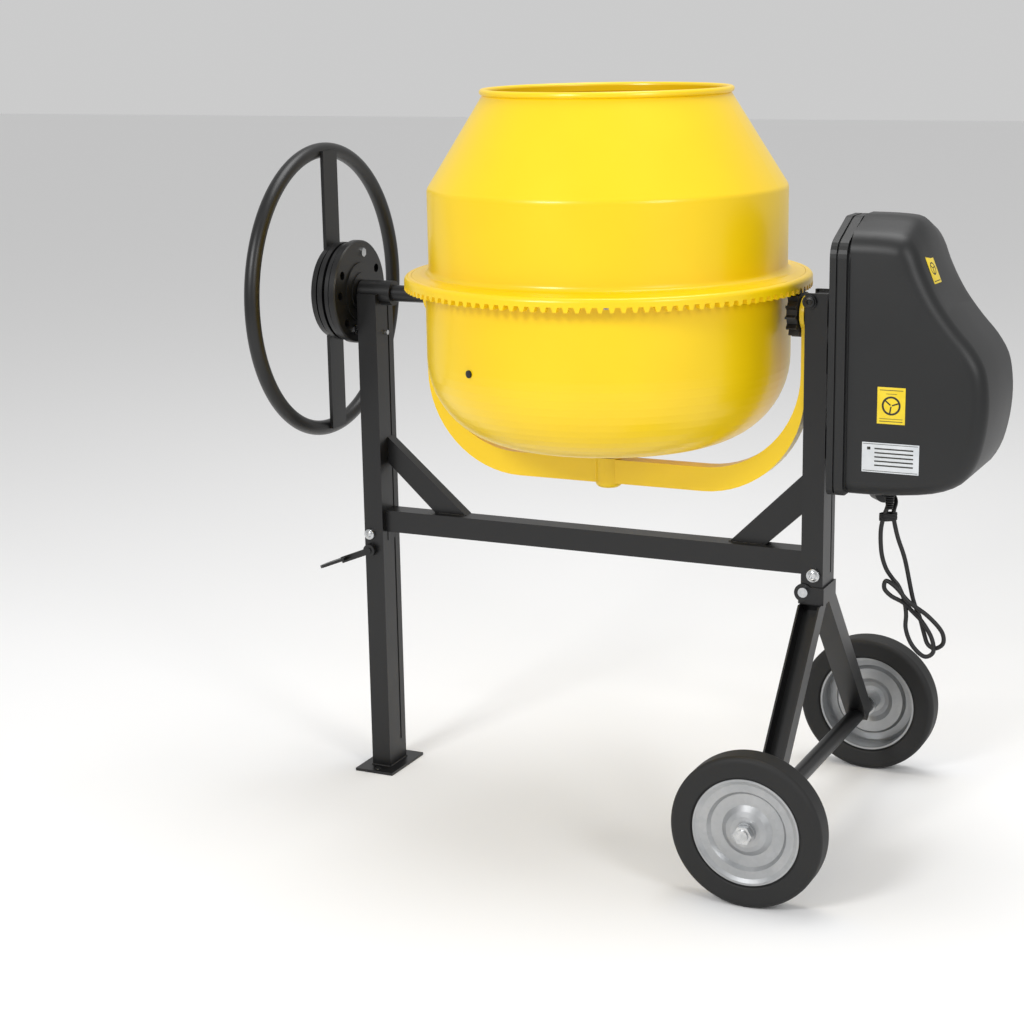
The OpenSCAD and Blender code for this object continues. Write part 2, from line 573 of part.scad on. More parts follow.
function inset(i, d) = let (t = unit(outer[min(i + 1, last)] - outer[max(i - 1, 0)]),
  q = outer[i] + d * [-t[1], t[0]])
  (i == 0 || i == last) ? [0, q[1]] : [max(q[0], i * 0.01), q[1]];
function smooth(t) = let (u = min(1, max(0, t))) u * u * (3 - 2 * u);
// the top rises to a gable in the middle
function roof(y, z) = gable * smooth((z - 290) / 90) * (1 - min(1, max(0, abs(y) - 20) / (cover_w - 20)));
edge_r = 24;
function row(k, n, w) = k <= n ? [-w + edge_r * (1 - cos(90 * k / n)), edge_r * (1 - sin(90 * k / n))]
  : [w - edge_r * (1 - cos(90 * (2 * n + 7 - k) / n)), edge_r * (1 - sin(90 * (2 * n + 7 - k) / n))];
module cover_solid(t, open) {
  n = 6;
  flat = [for (y = [-60, -40, -20, 20, 40, 60]) [y, 0]];
  rows = concat([for (k = [0:n]) row(k, n, cover_w - t)], flat, [for (k = [n + 7:2 * n + 7]) row(k, n,
    cover_w - t)]);
  m = last + 1;
  points = [for (r = rows, i = [0:last]) let (q = inset(i, r[1] + t))
    [cover_x + q[0] - ((i == 0 || i == last) ? open : 0), r[0], house_z0 + q[1] + roof(r[0], q[1])]];
  sides = [for (j = [0:len(rows) - 2], i = [0:last]) let (a = j * m + i, b = j * m + (i + 1) % m)
    each [[a, b, a + m], [b, b + m, a + m]]];
  polyhedron(points = points, faces = concat(sides, [[for (i = [last:-1:0]) i]],
    [[for (i = [0:last]) (len(rows) - 1) * m + i]]));
}
module cover() put() color(black) difference() {
  cover_solid(0, 0);
  cover_solid(3, 2);
}
module switch_base() put() color("#2a2a2c") difference() {
  box(switch_x - 38, switch_x + 38, cover_w, cover_w + 14, switch_z - 28, switch_z + 28);
  for (s = [-1, 1]) along_y(switch_x + s * 18, cover_w - 1, switch_z) cylinder(r = button_r + 0.4,
    h = 20, $fn = 48);
}
module button(x) along_y(x, cover_w + 4, switch_z) cylinder(r = button_r, h = 14, $fn = 48);
module on_button() put() color("#1f9d3a") button(switch_x + 18);
module off_button() put() color("#c8201c") button(switch_x - 18);

// hand wheel and its hub
module hand_wheel() put() color(black) difference() {
  union() {
    along_x(wheel_x, 0, axis_h) rotate_extrude($fn = 120) translate([hand_r - hand_tube,
      0]) circle(r = hand_tube, $fn = 32);
    box(wheel_x + strap_in, wheel_x + strap_in + 6, -strap_w / 2, strap_w / 2, axis_h - strap_r,
      axis_h + strap_r);
  }
  along_x(wheel_x, 0, axis_h) cylinder(r = shaft_r, h = 30, $fn = 64);
}
module hub_discs() put() color(black) difference() {
  along_x(hub_x - hub_w, 0, axis_h) rotate_extrude($fn = 120) polygon([[shaft_r, 0], [80, 0], [80, 9],
    [66, 9], [66, 14],
    [84, 14], [84, 23], [72, 23], [72, 28], [84, 28], [84, 35], [78, 35], [78, 37], [86, 37], [88, 39],
      [88, hub_w - 2],
    [86, hub_w], [50, hub_w], [50, hub_w + 2.5], [33, hub_w + 2.5], [33, hub_w + 4.5], [shaft_r,
      hub_w + 4.5]]);
  for (a = lock_angles) tilted(a) along_x(hub_x - 20, 0, pin_z) cylinder(r = lock_hole_r, h = 40, $fn = 32);
}
module hub_bolts() put() color(steel) {
  for (p = [[13, 66], [-22, -62]]) along_x(hub_x, p[0], axis_h + p[1]) cylinder(r = 8, h = 3, $fn = 6);
  along_x(wheel_x + 2, 0, axis_h) cylinder(r = 11, h = 6, $fn = 6);
}

// pedal, rod and index pin; the pedal is drawn pressed, with the pin drawn back
pad_a = -21.7;
crank_a = 15;
module pedal() put() color(black) union() {
  along_y(pedal_x, -leg_d / 2 - 12, pedal_z) cylinder(r = bolt_r, h = leg_d + 18, $fn = 32);
  along_y(pedal_x, -leg_d / 2 - 10, pedal_z) cylinder(r = 11, h = 9, $fn = 48);
  along_y(pedal_x, leg_d / 2 + 1, pedal_z) cylinder(r = 9, h = 4, $fn = 48);
  translate([pedal_x, -leg_d / 2 - 10, pedal_z]) rotate([0, pad_a, 0]) {
    box(-60, -6, 0, 7, -6, 5);
    box(-88, -46, -14, 20, -2, 3);
    translate([-88, 3, -2]) cylinder(r = 17, h = 5, $fn = 48);
  }
  translate([pedal_x, 6, pedal_z]) rotate([0, -crank_a, 0]) {
    box(0, pedal_lever + 3, 0, 6, -4, 4);
    along_y(pedal_lever, 5, 0) cylinder(r = 2.5, h = 13, $fn = 32);
  }
}
eye_z = pedal_z + pedal_lever * sin(crank_a);
face_gap = 0.5;
wedge_x = leg_lx + 11;
module lock_rod() put() color(steel) difference() {
  union() {
    translate([rod_x, rod_y, eye_z]) cylinder(r = rod_r, h = pin_z - 30 - eye_z, $fn = 32);
    box(rod_x - 6, rod_x + 5.5, rod_y - 4, rod_y + 4, eye_z - 7, eye_z + 7);
    translate([0, rod_y + 6, 0]) rotate([90, 0, 0]) linear_extrude(rod_y + 14) polygon([
      [leg_lx + leg_t + 1.5, pin_z - 34], [wedge_x + 20, pin_z - 34], [wedge_x + 20, pin_z - 29],
      [wedge_x - face_gap, pin_z - 8.5], [leg_lx + leg_t + 1.5, pin_z - 8.5]]);
  }
  translate([rod_x - 3.6, rod_y - 10, eye_z - 2.7]) cube([6.4, 20, 5.4]);
}
module lock_pin() put() color(steel) union() {
  along_x(leg_lx - 6, 0, pin_z) cylinder(r = pin_r, h = 20, $fn = 32);
  translate([0, 8, 0]) rotate([90, 0, 0]) linear_extrude(16) polygon([[wedge_x, pin_z - 8],
    [wedge_x + 14, pin_z - 22], [wedge_x + 14, pin_z + 8], [wedge_x, pin_z + 8]]);
  along_x(leg_lx + 20, 0, pin_z) cylinder(r = 4, h = leg_w - 14, $fn = 32);
}

// mains cord: gland under the housing, hank tied on itself, plug put away under the housing
module cord_gland() put() color("#1a1a1a") translate([gland_x, 0, house_z0]) difference() {
  union() {
    translate([0, 0, -6]) cylinder(r = 10, h = 6, $fn = 6);
    translate([0, 0, -16]) cylinder(r = 7, h = 10, $fn = 32);
  }
  translate([0, 0, -17]) cylinder(r = cord_r, h = 30, $fn = 32);
}
cord_route = [[0, 0, -8], [-3, 0, -34], [-9, 0, -52], [-13, 0, -76], [-11, 0, -110], [-4, 2, -135], [6,
  6, -152],
  [16, 7, -164], [26, 4, -184], [31, 0, -206], [32, -3, -230], [43, -4, -255], [62, -2, -272], [76, 0,
    -264], [72, 3, -242],
  [56, 5, -218], [40, 4, -202], [26, 0, -188], [8, -5, -178], [-3, -7, -166], [0, -8, -153], [16, -8,
    -162], [37, -7, -184],
  [66, -4, -204], [88, 0, -228], [91, 2, -248], [78, 5, -259], [65, 9, -255], [58, 12, -240], [50, 13,
    -214], [38, 13, -184],
  [24, 12, -122], [11, 11, -84], [4, 10, -50], [4, 22, -32], [-4, 38, -26], [-16, 52, -26]];
cord_end = cord_route[len(cord_route) - 1];
plug_way = [cos(131), sin(131), 0];
function swept(p, n) = concat([for (i = [0:len(p) - 2], k = [0:n - 1])
  spline(p[max(i - 1, 0)], p[i], p[i + 1], p[min(i + 2, len(p) - 1)], k / n)], [p[len(p) - 1]]);
function turned(t, i, acc) = i >= len(t) ? acc :
  turned(t, i + 1, concat(acc, [unit(acc[i - 1] - (acc[i - 1] * t[i]) * t[i])]));
module tube(p, r, sides) {
  m = len(p);
  t = concat([[0, 0, -1]], [for (i = [1:m - 2]) unit(p[i + 1] - p[i - 1])], [plug_way]);
  u = turned(t, 1, [[0, 1, 0]]);
  points = [for (i = [0:m - 1], k = [0:sides - 1]) let (v = cross(t[i], u[i]), a = k * 360 / sides)
    p[i] + r * (u[i] * cos(a) + v * sin(a))];
  skin = [for (i = [0:m - 2], k = [0:sides - 1]) let (a = i * sides + k, b = i * sides + (k + 1) % sides)
    each [[a, a + sides, b], [b, a + sides, b + sides]]];
  polyhedron(points = points, faces = concat(skin, [[for (k = [0:sides - 1]) k]],
    [[for (k = [sides - 1:-1:0]) (m - 1) * sides + k]]));
}
module cord_space() translate([gland_x, 0, house_z0]) children();
module cord() put() color("#141414") cord_space() tube(swept(cord_route, 2), cord_r, 8);
module cord_tie() put() color("#141414") cord_space() translate([-3, 5, -56]) rotate([0, 0, 38]) union() {
  for (x = [-8, 8]) translate([x, 0, 0]) cylinder(r = 5.5, h = 8, $fn = 32);
  translate([-8, -5.5, 0]) cube([16, 11, 8]);
}
module plug() put() color("#141414") cord_space() translate(cord_end) rotate([0, 0, 131]) rotate([0,
  90, 0]) union() {
  cylinder(r = 8, h = 12, $fn = 32);
  translate([0, 0, 12]) cylinder(r = 18, h = 26, $fn = 48);
  for (s = [-1, 1]) translate([0, s * 9.5, 38]) cylinder(r = 2.4, h = 19, $fn = 24);
}

left_leg();
foot_plate();
right_leg();
crossbar();
left_brace();
right_brace();
leg_socket();
front_strut();
rear_strut();
axle_tube();
axle();
axle_nuts();
front_tyre();
front_rim();
rear_tyre();
rear_rim();
frame_bolts();
left_bearing();
right_bearing();
bearing_bolt();
yoke();
left_shaft();
right_sleeve();
shaft_bushes();
spindle_boss();
spindle_bearings();
spindle();
boss_cap();
lower_drum();
upper_drum();
ring_gear();
drum_seal();
drum_bolts();
mixing_blades();
blade_bolts();
pinion();
drive_shaft();
big_pulley();
drive_belt();
motor_shelf();
motor_body();
motor_shaft();
motor_pulley();
capacitor();
housing_brackets();
back_plate();
cover();
switch_base();
on_button();
off_button();
cord_gland();
cord();
cord_tie();
plug();
hand_wheel();
hub_discs();
hub_bolts();
pedal();
lock_rod();
lock_pin();
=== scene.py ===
"""Looks of the tilting-drum concrete mixer: studio, cord, labels, fasteners and every finish."""

import json
import logging
import math
from dataclasses import dataclass
from enum import Enum
from typing import Callable, Sequence

import bmesh
import bpy
from mathutils import Matrix, Vector
from mathutils.bvhtree import BVHTree


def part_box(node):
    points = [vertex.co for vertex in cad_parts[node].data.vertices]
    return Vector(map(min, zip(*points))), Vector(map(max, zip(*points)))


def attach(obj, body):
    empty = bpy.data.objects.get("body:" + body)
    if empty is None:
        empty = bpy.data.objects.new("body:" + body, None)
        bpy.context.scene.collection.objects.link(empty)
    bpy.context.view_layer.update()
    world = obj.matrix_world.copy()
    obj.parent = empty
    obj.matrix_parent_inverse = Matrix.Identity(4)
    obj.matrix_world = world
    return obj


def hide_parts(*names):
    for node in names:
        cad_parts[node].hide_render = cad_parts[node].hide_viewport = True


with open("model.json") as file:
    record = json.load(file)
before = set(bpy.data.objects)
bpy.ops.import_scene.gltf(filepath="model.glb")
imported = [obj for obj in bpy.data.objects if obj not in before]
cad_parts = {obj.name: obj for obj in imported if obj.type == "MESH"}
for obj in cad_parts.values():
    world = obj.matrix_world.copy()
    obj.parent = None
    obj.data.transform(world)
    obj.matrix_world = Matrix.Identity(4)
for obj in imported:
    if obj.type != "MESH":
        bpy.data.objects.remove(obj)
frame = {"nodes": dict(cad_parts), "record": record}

log = logging.getLogger("mixer")
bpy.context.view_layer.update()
Point = tuple[float, float, float]


def middle(node: str) -> Vector:
    """Centre of a node's box."""
    low, high = (Vector(v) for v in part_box(node))
    return (low + high) / 2


def low(node: str) -> Vector:
    """Lowest corner of a node's box."""
    return Vector(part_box(node)[0])


def high(node: str) -> Vector:
    """Highest corner of a node's box."""
    return Vector(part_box(node)[1])


def linear(hexa: str) -> tuple[float, float, float, float]:
    """Turns an sRGB hex colour into the linear value that the shader takes.

    Args:
        hexa: Colour such as "#f2c811".

    Returns:
        Linear red, green, blue and an alpha of 1.
    """
    parts = [int(hexa[i:i + 2], 16) / 255 for i in (1, 3, 5)]
    red, green, blue = (c / 12.92 if c <= 0.04045 else ((c + 0.055) / 1.055) ** 2.4 for c in parts)
    return (red, green, blue, 1.0)


def add(tree: bpy.types.NodeTree, kind: str, links: dict | None = None,
        **settings: object) -> bpy.types.Node:
    """Adds one shader node with its settings and links.

    Args:
        tree: The material's node tree.
        kind: Node type without its ShaderNode prefix.
        links: Input name or index to the output socket that feeds it.
        settings: Node properties, or socket values where the name is an input's.

    Returns:
        The new node.
    """
    made = tree.nodes.new("ShaderNode" + kind)
    for name, value in settings.items():
        label = name.replace("_", " ").title()
        if hasattr(made, name):
            setattr(made, name, value)
        else:
            made.inputs[label].default_value = value
    for name, output in (links or {}).items():
        tree.links.new(output, made.inputs[name])
    return made


# --- finishes -------------------------------------------------------------------------------------


class Surface(Enum):
    """How the outer skin of a material was made."""

    PAINT = "sprayed enamel"
    POWDER = "powder coat"
    MOULDED = "moulded grain"
    METAL = "machined or plated metal"
    RUBBER = "moulded rubber"


@dataclass(frozen=True)
class Finish:
    """One real material with its colours, gloss and the size of its surface pattern."""

    name: str
    surface: Surface
    colour: str
    second: str
    roughness: float
    grain_mm: float
    bump: float
    cloud_mm: float = 120.0
    metallic: float = 0.0
    coat: float = 0.0
    spread: float = 0.08

    def make(self) -> bpy.types.Material:
        """Builds the material once and returns it."""
        known = bpy.data.materials.get(self.name)
        if known:
            return known
        made = bpy.data.materials.new(self.name)
        made["surface"] = self.surface.value
        made.use_nodes = True
        tree = made.node_tree
        shader = tree.nodes["Principled BSDF"]
        place = add(tree, "TexCoord").outputs["Object"]
        cloud = add(tree, "TexNoise", {"Vector": place}, scale=1000 / self.cloud_mm, detail=3.0)
        mix = add(tree, "ValToRGB", {"Fac": cloud.outputs["Fac"]})
        mix.color_ramp.elements[0].position = 0.35
        mix.color_ramp.elements[1].position = 0.68
        mix.color_ramp.elements[0].color = linear(self.second)
        mix.color_ramp.elements[1].color = linear(self.colour)
        grain = add(tree, "TexNoise", {"Vector": place}, scale=1000 / self.grain_mm, detail=2.0)
        gloss = add(tree, "MapRange", {"Value": cloud.outputs["Fac"]},
                    to_min=self.roughness - self.spread / 2, to_max=self.roughness + self.spread)
        bump = add(tree, "Bump", {"Height": grain.outputs["Fac"]}, strength=self.bump,
                   distance=self.grain_mm / 4000)
        tree.links.new(self.tint(tree, place, mix.outputs["Color"]), shader.inputs["Base Color"])
        tree.links.new(gloss.outputs["Result"], shader.inputs["Roughness"])
        tree.links.new(bump.outputs["Normal"], shader.inputs["Normal"])
        shader.inputs["Metallic"].default_value = self.metallic
        shader.inputs["Coat Weight"].default_value = self.coat
        shader.inputs["Coat Roughness"].default_value = 0.12
        return made

    def tint(self, tree: bpy.types.NodeTree, place: bpy.types.NodeSocket,
             colour: bpy.types.NodeSocket) -> bpy.types.NodeSocket:
        """Gives subclasses a place to colour part of the surface."""
        return colour


@dataclass(frozen=True)
class DrumFinish(Finish):
    """Drum enamel, with the primer-orange lining on the faces that look inwards."""

    lining: str = "#d9661a"
    centre: Point = (0.0, 0.0, 0.9)
    mouth: float = 1.2

    def tint(self, tree: bpy.types.NodeTree, place: bpy.types.NodeSocket,
             colour: bpy.types.NodeSocket) -> bpy.types.NodeSocket:
        """Mixes in the lining where the surface faces the drum's centre."""
        facing = add(tree, "TexCoord").outputs["Normal"]
        away = add(tree, "VectorMath", {0: place}, operation="SUBTRACT")
        away.inputs[1].default_value = self.centre
        dot = add(tree, "VectorMath", {0: away.outputs["Vector"], 1: facing}, operation="DOT_PRODUCT")
        inside = add(tree, "Math", {0: dot.outputs["Value"]}, operation="LESS_THAN")
        inside.inputs[1].default_value = -0.01
        deep = add(tree, "SeparateXYZ", {"Vector": place})
        below = add(tree, "MapRange", {"Value": deep.outputs["Z"]}, from_min=self.mouth - 0.035,
                    from_max=self.mouth - 0.075)
        both = add(tree, "Math", {0: inside.outputs[0], 1: below.outputs["Result"]}, operation="MULTIPLY")
        mixed = add(tree, "Mix", {"Factor": both.outputs[0]}, data_type="RGBA")
        tree.links.new(colour, mixed.inputs[6])
        mixed.inputs[7].default_value = linear(self.lining)
        return mixed.outputs[2]


@dataclass(frozen=True)
class RimFinish(Finish):
    """Zinc-plated pressed steel, with the crystal spangle of the plating."""

    spangle_mm: float = 7.0

    def tint(self, tree: bpy.types.NodeTree, place: bpy.types.NodeSocket,
             colour: bpy.types.NodeSocket) -> bpy.types.NodeSocket:
        """Varies the metal's lightness from one crystal to the next."""
        cells = add(tree, "TexVoronoi", {"Vector": place}, scale=1000 / self.spangle_mm)
        level = add(tree, "SeparateXYZ", {"Vector": cells.outputs["Color"]})
        shade = add(tree, "MapRange", {"Value": level.outputs["X"]}, to_min=0.96, to_max=1.03)
        mixed = add(tree, "VectorMath", {0: colour, "Scale": shade.outputs["Result"]}, operation="SCALE")
        return mixed.outputs["Vector"]


# sprayed gloss enamel over sheet steel: deep colour, slight orange peel
ENAMEL = Finish("yellow_enamel", Surface.PAINT, "#f6d008", "#f2ca05", 0.3, 5.0, 0.05, 260.0, coat=0.12)
# black powder coat over tube steel: satin, fine orange peel
POWDER = Finish("black_powder_coat", Surface.POWDER, "#0e0e0f", "#0a0a0b", 0.36, 1.6, 0.12, 90.0)
# moulded black polypropylene: satin with a fine spark-eroded grain
HOUSING = Finish("black_polypropylene", Surface.MOULDED, "#111213", "#0d0e0f", 0.44, 0.9, 0.14, 160.0)
# zinc-plated rims: pale grey metal with a soft spangle
ZINC = RimFinish("zinc_plated_rim", Surface.METAL, "#b4b5b6", "#a5a7a9", 0.4, 2.5, 0.04, 60.0, metallic=0.8)
# plated bolts, nuts and ground shafts
PLATED = Finish("bright_zinc_bolt", Surface.METAL, "#cfd0d1", "#b6b8ba", 0.24, 1.2, 0.08, 12.0,
                metallic=1.0)
# solid rubber tyres: dull black with fine bloom
TYRE = Finish("solid_rubber_tyre", Surface.RUBBER, "#151515", "#101010", 0.6, 1.4, 0.22, 60.0)
# extruded cord and seals: soft black vinyl
VINYL = Finish("black_vinyl", Surface.RUBBER, "#161617", "#101011", 0.45, 0.8, 0.1, 30.0)
# rough sand-cast iron for the pinion and pulleys
IRON = Finish("sand_cast_iron", Surface.METAL, "#4a4b4d", "#38393b", 0.55, 1.8, 0.35, 25.0, metallic=0.8)
BRASS = Finish("bearing_bronze", Surface.METAL, "#b98f55", "#a27a44", 0.35, 1.0, 0.1, 15.0, metallic=1.0)
GREY = Finish("grey_motor_enamel", Surface.PAINT, "#5a5f66", "#50555b", 0.4, 2.5, 0.12, 70.0)
LINING = Finish("orange_primer", Surface.PAINT, "#d9661a", "#c25612", 0.42, 3.0, 0.15, 90.0)
BROWN = Finish("brown_primer", Surface.PAINT, "#8a6a2c", "#74571f", 0.45, 2.0, 0.15, 40.0)
WHITE = Finish("white_abs", Surface.MOULDED, "#e2e2de", "#d8d8d4", 0.3, 0.8, 0.05, 40.0)
GREEN = Finish("green_abs", Surface.MOULDED, "#1f9a3d", "#1a8a35", 0.28, 0.8, 0.05, 20.0)
RED = Finish("red_abs", Surface.MOULDED, "#cc2018", "#b81a13", 0.28, 0.8, 0.05, 20.0)
# printed vinyl film on the housing
YELLOW_FILM = Finish("yellow_vinyl_film", Surface.PAINT, "#ecd02c", "#e2c522", 0.35, 1.0, 0.03, 25.0)
WHITE_FILM = Finish("silver_vinyl_film", Surface.PAINT, "#d3d6d9", "#c6cacd", 0.35, 1.0, 0.03, 25.0)
INK = Finish("printed_ink", Surface.PAINT, "#26261c", "#1f1f18", 0.5, 1.0, 0.02, 10.0)


# --- modelling helpers ----------------------------------------------------------------------------


def alone(obj: bpy.types.Object | None = None) -> None:
    """Leaves only this object selected and active."""
    bpy.ops.object.select_all(action="DESELECT")
    if obj:
        obj.select_set(True)
        bpy.context.view_layer.objects.active = obj


def taken(name: str) -> bpy.types.Object:
    """Names the active object and settles its place into its mesh."""
    obj = bpy.context.object
    obj.name = name
    obj.data.name = name
    bpy.ops.object.transform_apply(location=True, rotation=True, scale=True)
    return obj


def modified(obj: bpy.types.Object, kind: str, **settings: object) -> None:
    """Adds a modifier with its settings and applies it.

    Args:
        obj: The piece.
        kind: Modifier type.
        settings: The modifier's properties.
    """
    alone(obj)
    made = obj.modifiers.new(kind, kind)
    for name, value in settings.items():
        setattr(made, name, value)
    bpy.ops.object.modifier_apply(modifier=made.name)


def joined(name: str, parts: Sequence[bpy.types.Object]) -> bpy.types.Object:
    """Joins several meshes into one piece."""
    alone(parts[0])
    for part in parts:
        part.select_set(True)
    bpy.ops.object.join()
    return taken(name)


def picked_faces(obj: bpy.types.Object, test: Callable[[Vector, Vector], bool]) -> None:
    """Selects, in edit mode, the faces whose centre and normal pass a test."""
    alone(obj)
    bpy.ops.object.mode_set(mode="EDIT")
    bpy.ops.mesh.select_mode(type="FACE")
    bpy.ops.mesh.select_all(action="DESELECT")
    mesh = bmesh.from_edit_mesh(obj.data)
    for face in mesh.faces:
        face.select_set(test(face.calc_center_median(), face.normal))
    bmesh.update_edit_mesh(obj.data)


def object_mode() -> None:
    """Returns from edit mode."""
    bpy.ops.object.mode_set(mode="OBJECT")


def settle(obj: bpy.types.Object, body: str, finish: Finish,
           angle: float = 35.0) -> bpy.types.Object:
    """Shades a piece, gives it its finish and makes it ride on its body.

    Args:
        obj: The piece.
        body: The body that it moves with.
        finish: Its material.
        angle: Edges sharper than this, in degrees, stay sharp.

    Returns:
        The same piece.
    """
    obj.data.materials.clear()
    obj.data.materials.append(finish.make())
    alone(obj)
    bpy.ops.object.shade_smooth_by_angle(angle=math.radians(angle))
    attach(obj, body)
    log.info("%s: %d faces", obj.name, len(obj.data.polygons))
    return obj


def spline(points: Sequence[Point], steps: int) -> list[Vector]:
    """Runs a smooth line through given points.

    Args:
        points: Route points.
        steps: Pieces in each stretch.

    Returns:
        Points along the line.
    """
    route = [Vector(p) for p in points]
    line = []
    for i in range(len(route) - 1):
        a, b = route[max(i - 1, 0)], route[i]
        c, d = route[i + 1], route[min(i + 2, len(route) - 1)]
        for k in range(steps):
            t = k / steps
            line.append(0.5 * (2 * b + (c - a) * t + (2 * a - 5 * b + 4 * c - d) * t ** 2
                               + (3 * b - a - 3 * c + d) * t ** 3))
    return line + [route[-1]]


# --- studio ---------------------------------------------------------------------------------------


@dataclass
class Studio:
    """Camera, pale floor and soft lights."""

    origin_x: float
    yaw: float = 25.7
    pitch: float = 13.6
    roll: float = -1.03
    place: Point = (1.330, -3.137, 1.331)
    lens: float = 73.9

    def camera(self) -> None:
        """Puts the camera in front of the machine, to its right and a little above."""
        yaw, pitch, roll = (math.radians(v) for v in (self.yaw, self.pitch, self.roll))
        level = math.cos(pitch)
        ahead = Vector((-math.sin(yaw) * level, math.cos(yaw) * level, -math.sin(pitch)))
        side = Vector((math.cos(yaw), math.sin(yaw), 0))
        above = side.cross(ahead)
        across = side * math.cos(roll) + above * math.sin(roll)
        upward = above * math.cos(roll) - side * math.sin(roll)
        bpy.ops.object.camera_add()
        camera = bpy.context.object
        camera.data.lens = self.lens
        turn = Matrix((across, upward, -ahead)).transposed().to_4x4()
        camera.matrix_world = Matrix.Translation(Vector(self.place) + Vector((self.origin_x, 0, 0))) @ turn
        bpy.context.scene.camera = camera

    def floor(self) -> None:
        """Lays a wide pale floor."""
        bpy.ops.mesh.primitive_plane_add(size=40)
        floor = taken("studio_floor")
        paint = bpy.data.materials.new("pale_floor")
        paint.use_nodes = True
        paint.node_tree.nodes["Principled BSDF"].inputs["Base Color"].default_value = linear("#f4f4f4")
        paint.node_tree.nodes["Principled BSDF"].inputs["Roughness"].default_value = 0.9
        floor.data.materials.append(paint)

    def lamp(self, place: Point, target: Point, size: float, power: float) -> None:
        """Adds one soft square lamp.

        Args:
            place: Where it stands.
            target: What it points at.
            size: Its side, in metres.
            power: Its power, in watts.
        """
        bpy.ops.object.light_add(type="AREA", location=place)
        lamp = bpy.context.object
        lamp.data.size = size
        lamp.data.energy = power
        lamp.rotation_euler = (Vector(target) - Vector(place)).to_track_quat("-Z", "Y").to_euler()

    def lights(self) -> None:
        """Lights the machine as a white studio does: bright surroundings, a key from the left, a fill."""
        world = bpy.data.worlds.new("studio")
        world.use_nodes = True
        world.node_tree.nodes["Background"].inputs["Color"].default_value = linear("#ffffff")
        world.node_tree.nodes["Background"].inputs["Strength"].default_value = 0.6
        bpy.context.scene.world = world
        bpy.context.scene.view_settings.view_transform = "Standard"
        self.lamp((-0.9, -3.4, 2.6), (0, 0, 0.9), 0.9, 58)
        self.lamp((2.9, -2.0, 2.2), (0.2, 0, 0.9), 0.9, 30)
        self.lamp((0.2, 0.6, 3.8), (0, 0, 0.9), 2.0, 60)


# --- cord -----------------------------------------------------------------------------------------


@dataclass
class MainsCord:
    """The mains lead: it hangs from its gland in a tied hank, with the plug put away under the housing."""

    radius: float = 0.0035
    route: tuple[Point, ...] = (
        (0, 0, -8), (-3, 0, -34), (-9, 0, -52), (-13, 0, -76), (-11, 0, -110), (-4, 2, -135),
        (6, 6, -152),
        (16, 7, -164), (26, 4, -184), (31, 0, -206), (32, -3, -230), (43, -4, -255),
        (62, -2, -272), (76, 0, -264),
        (72, 3, -242), (56, 5, -218), (40, 4, -202), (26, 0, -188), (8, -5, -178), (-3, -7, -166),
        (0, -8, -153),
        (16, -8, -162), (37, -7, -184), (66, -4, -204), (88, 0, -228), (91, 2, -248),
        (78, 5, -259), (65, 9, -255),
        (58, 12, -240), (50, 13, -214), (38, 13, -184), (24, 12, -122), (11, 11, -84),
        (4, 10, -50), (4, 22, -32),
        (-4, 38, -26), (-16, 52, -26))

    def line(self) -> list[Vector]:
        """The route in metres, in the machine's frame."""
        start = middle("cord_gland")
        top = high("cord_gland").z
        return [Vector((start.x, start.y, top)) + p / 1000 for p in spline(self.route, 6)]

    def relief(self) -> bpy.types.Object:
        """A tapered, ribbed sleeve where the lead leaves its gland."""
        base = middle("cord_gland")
        top = low("cord_gland").z - 0.002
        pitch, taper = 0.0038, 0.0004
        rings = []
        for k in range(6):
            bpy.ops.mesh.primitive_torus_add(major_radius=0.0062 - taper * k, minor_radius=0.0016,
                                             major_segments=32, minor_segments=10,
                                             location=(base.x, base.y, top - pitch * k))
            rings.append(bpy.context.object)
        return settle(joined("strain_relief", rings), "frame", VINYL)

    def tie(self) -> bpy.types.Object:
        """Five turns of wire round both runs of the lead."""
        spot = middle("cord_tie")
        turns = []
        for k in range(5):
            bpy.ops.mesh.primitive_torus_add(major_radius=0.0075, minor_radius=0.0013, major_segments=40,
                                             minor_segments=8, location=(0, 0, 0))
            turn = bpy.context.object
            turn.scale = (1.75, 0.78, 1.0)
            turn.rotation_euler = (math.radians(6), 0, math.radians(38))
            turn.location = spot + Vector((0, 0, 0.0048 - 0.0024 * k))
            turns.append(turn)
        return settle(joined("twist_tie", turns), "frame", VINYL)

    def make(self) -> None:
        points = self.line()
        curve = bpy.data.curves.new("mains_lead", "CURVE")
        curve.dimensions = "3D"
        curve.bevel_depth = self.radius
        curve.bevel_resolution = 5
        curve.use_fill_caps = True
        strand = curve.splines.new("POLY")
        strand.points.add(len(points) - 1)
        for slot, point in zip(strand.points, points):
            slot.co = (*point, 1)
        lead = bpy.data.objects.new("mains_lead", curve)
        bpy.context.scene.collection.objects.link(lead)
        curve.materials.append(VINYL.make())
        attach(lead, "frame")
        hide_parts("cord")
        tie = self.tie()
        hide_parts("cord_tie")
        self.relief()


# --- sub-assemblies -------------------------------------------------------------------------------


